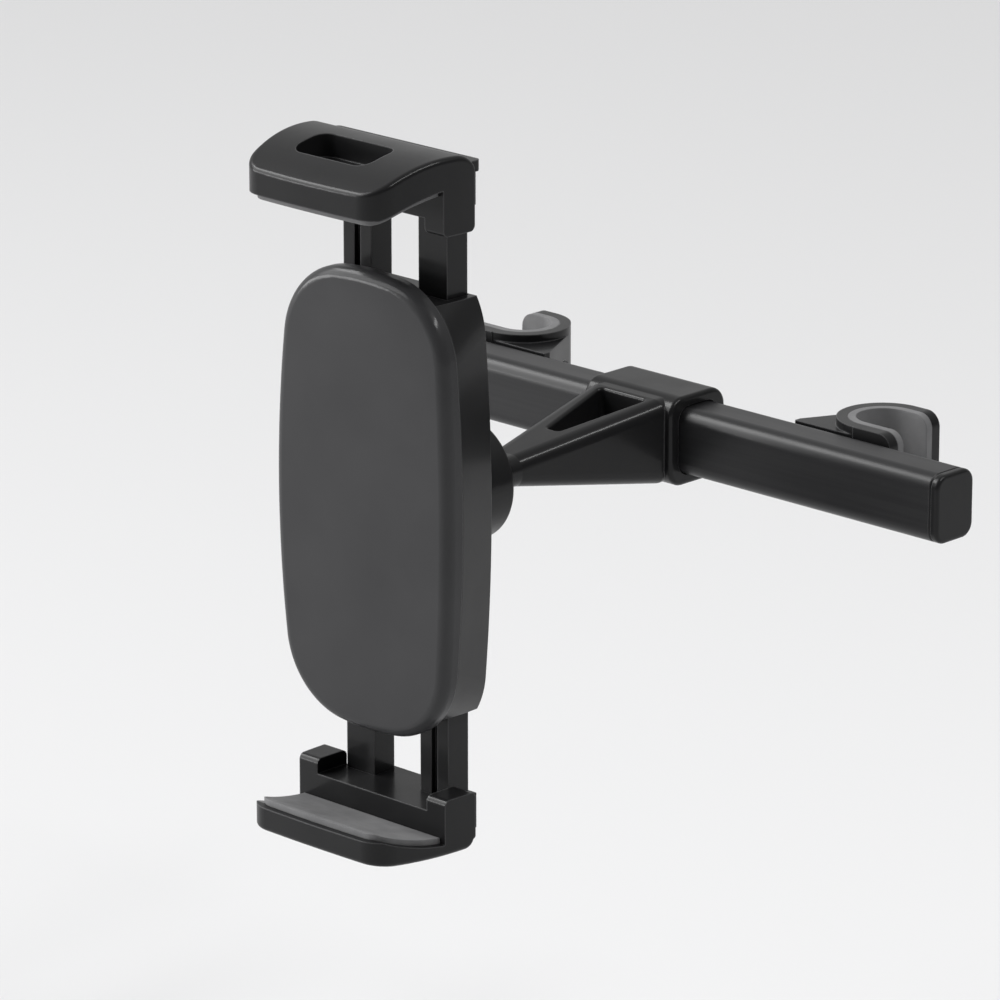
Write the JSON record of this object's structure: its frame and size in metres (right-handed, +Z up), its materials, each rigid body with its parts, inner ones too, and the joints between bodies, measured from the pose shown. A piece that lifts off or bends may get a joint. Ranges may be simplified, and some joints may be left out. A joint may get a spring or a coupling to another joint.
{
  "type": "headrest tablet mount",
  "caption": "Headrest mount for a tablet: a crossbar hooks onto the headrest posts, an arm slides along it, and a ball joint carries a sprung cradle with gripping jaws.",
  "frame": {"origin": "on the axis of the right-hand headrest post, at the middle of its hook's height", "axes": "+X along the crossbar to the right, +Y from the cradle back towards the headrest posts, +Z up along the posts"},
  "size_m": [0.2134, 0.1622, 0.184],
  "materials": {
    "bar_black": "satin black coating",
    "black_plastic": "satin moulded black",
    "grey_plastic": "satin dark grey",
    "pale_plastic": "natural bearing plastic",
    "grey_rubber": "soft matte grey",
    "steel": "zinc plated"
  },
  "bodies": {
    "bar": {"bar_tube": "bar_black", "end_cap_left": "black_plastic", "end_cap_right": "black_plastic", "spring_stop": "black_plastic", "stop_screw": "steel", "hook_spring_left": "steel", "hook_spring_right": "steel"},
    "left_hook": {"hook_left": "black_plastic", "hook_liner_left": "grey_rubber", "hook_shoe_left": "black_plastic", "hook_screw_left": "steel"},
    "right_hook": {"hook_right": "black_plastic", "hook_liner_right": "grey_rubber", "hook_shoe_right": "black_plastic", "hook_screw_right": "steel"},
    "arm": {"slider_arm": "black_plastic"},
    "rear_seat": {"ball_seat_rear": "pale_plastic"},
    "front_seat": {"ball_seat_front": "pale_plastic"},
    "cradle": {"back_shell": "black_plastic", "front_cover": "grey_plastic", "shell_screws": "steel", "upper_spring": "steel", "lower_spring": "steel"},
    "nut": {"lock_nut": "black_plastic"},
    "upper_slide": {"upper_jaw": "black_plastic", "upper_jaw_pad": "grey_rubber", "upper_rail_left": "black_plastic", "upper_rail_right": "black_plastic", "upper_rail_screws": "steel"},
    "lower_slide": {"lower_jaw": "black_plastic", "lower_jaw_pad": "grey_rubber", "lower_rail_left": "black_plastic", "lower_rail_right": "black_plastic", "lower_rail_screws": "steel"},
    "pinion": {"centring_pinion": "pale_plastic"}
  },
  "joints": [
    {"name": "right_hook_slide", "type": "slide", "parent": "bar", "child": "right_hook", "axis": [1, 0, 0], "range_m": [-0.012, 0.01], "stiffness_N_per_m": 400, "deforming": ["hook_spring_right"]},
    {"name": "left_hook_slide", "type": "slide", "parent": "bar", "child": "left_hook", "axis": [-1, 0, 0], "range_m": [-0.012, 0.01], "stiffness_N_per_m": 400, "deforming": ["hook_spring_left"]},
    {"name": "arm_slide", "type": "slide", "parent": "bar", "child": "arm", "axis": [1, 0, 0], "range_m": [-0.019, 0.0145]},
    {"name": "ball_yaw", "type": "hinge", "parent": "arm", "child": "rear_seat", "pos_m": [-0.0627, -0.0986, 0.0015], "axis": [0, 0, 1], "range_deg": [-14, 14]},
    {"name": "ball_pitch", "type": "hinge", "parent": "rear_seat", "child": "front_seat", "pos_m": [-0.0627, -0.0986, 0.0015], "axis": [1, 0, 0], "range_deg": [-14, 14]},
    {"name": "ball_roll", "type": "hinge", "parent": "front_seat", "child": "cradle", "pos_m": [-0.0627, -0.0986, 0.0015], "axis": [0, 1, 0], "continuous": true},
    {"name": "nut_turn", "type": "hinge", "parent": "cradle", "child": "nut", "pos_m": [-0.0627, -0.0986, 0.0015], "axis": [0, 1, 0], "range_deg": [-360, 0]},
    {"name": "upper_jaw_slide", "type": "slide", "parent": "cradle", "child": "upper_slide", "axis": [0, 0, 1], "range_m": [-0.015, 0.03], "stiffness_N_per_m": 250, "deforming": ["upper_spring"]},
    {"name": "lower_jaw_slide", "type": "slide", "parent": "cradle", "child": "lower_slide", "axis": [0, 0, -1], "range_m": [-0.015, 0.03], "deforming": ["lower_spring"]},
    {"name": "pinion_turn", "type": "hinge", "parent": "cradle", "child": "pinion", "pos_m": [-0.0627, -0.11435, 0.0027], "axis": [0, -1, 0], "range_deg": [-192, 383]}
  ],
  "couplings": [
    {"joint": "lower_jaw_slide", "follows": "upper_jaw_slide", "ratio": 1},
    {"joint": "pinion_turn", "follows": "upper_jaw_slide", "rad_per_m": 222.22}
  ]
}
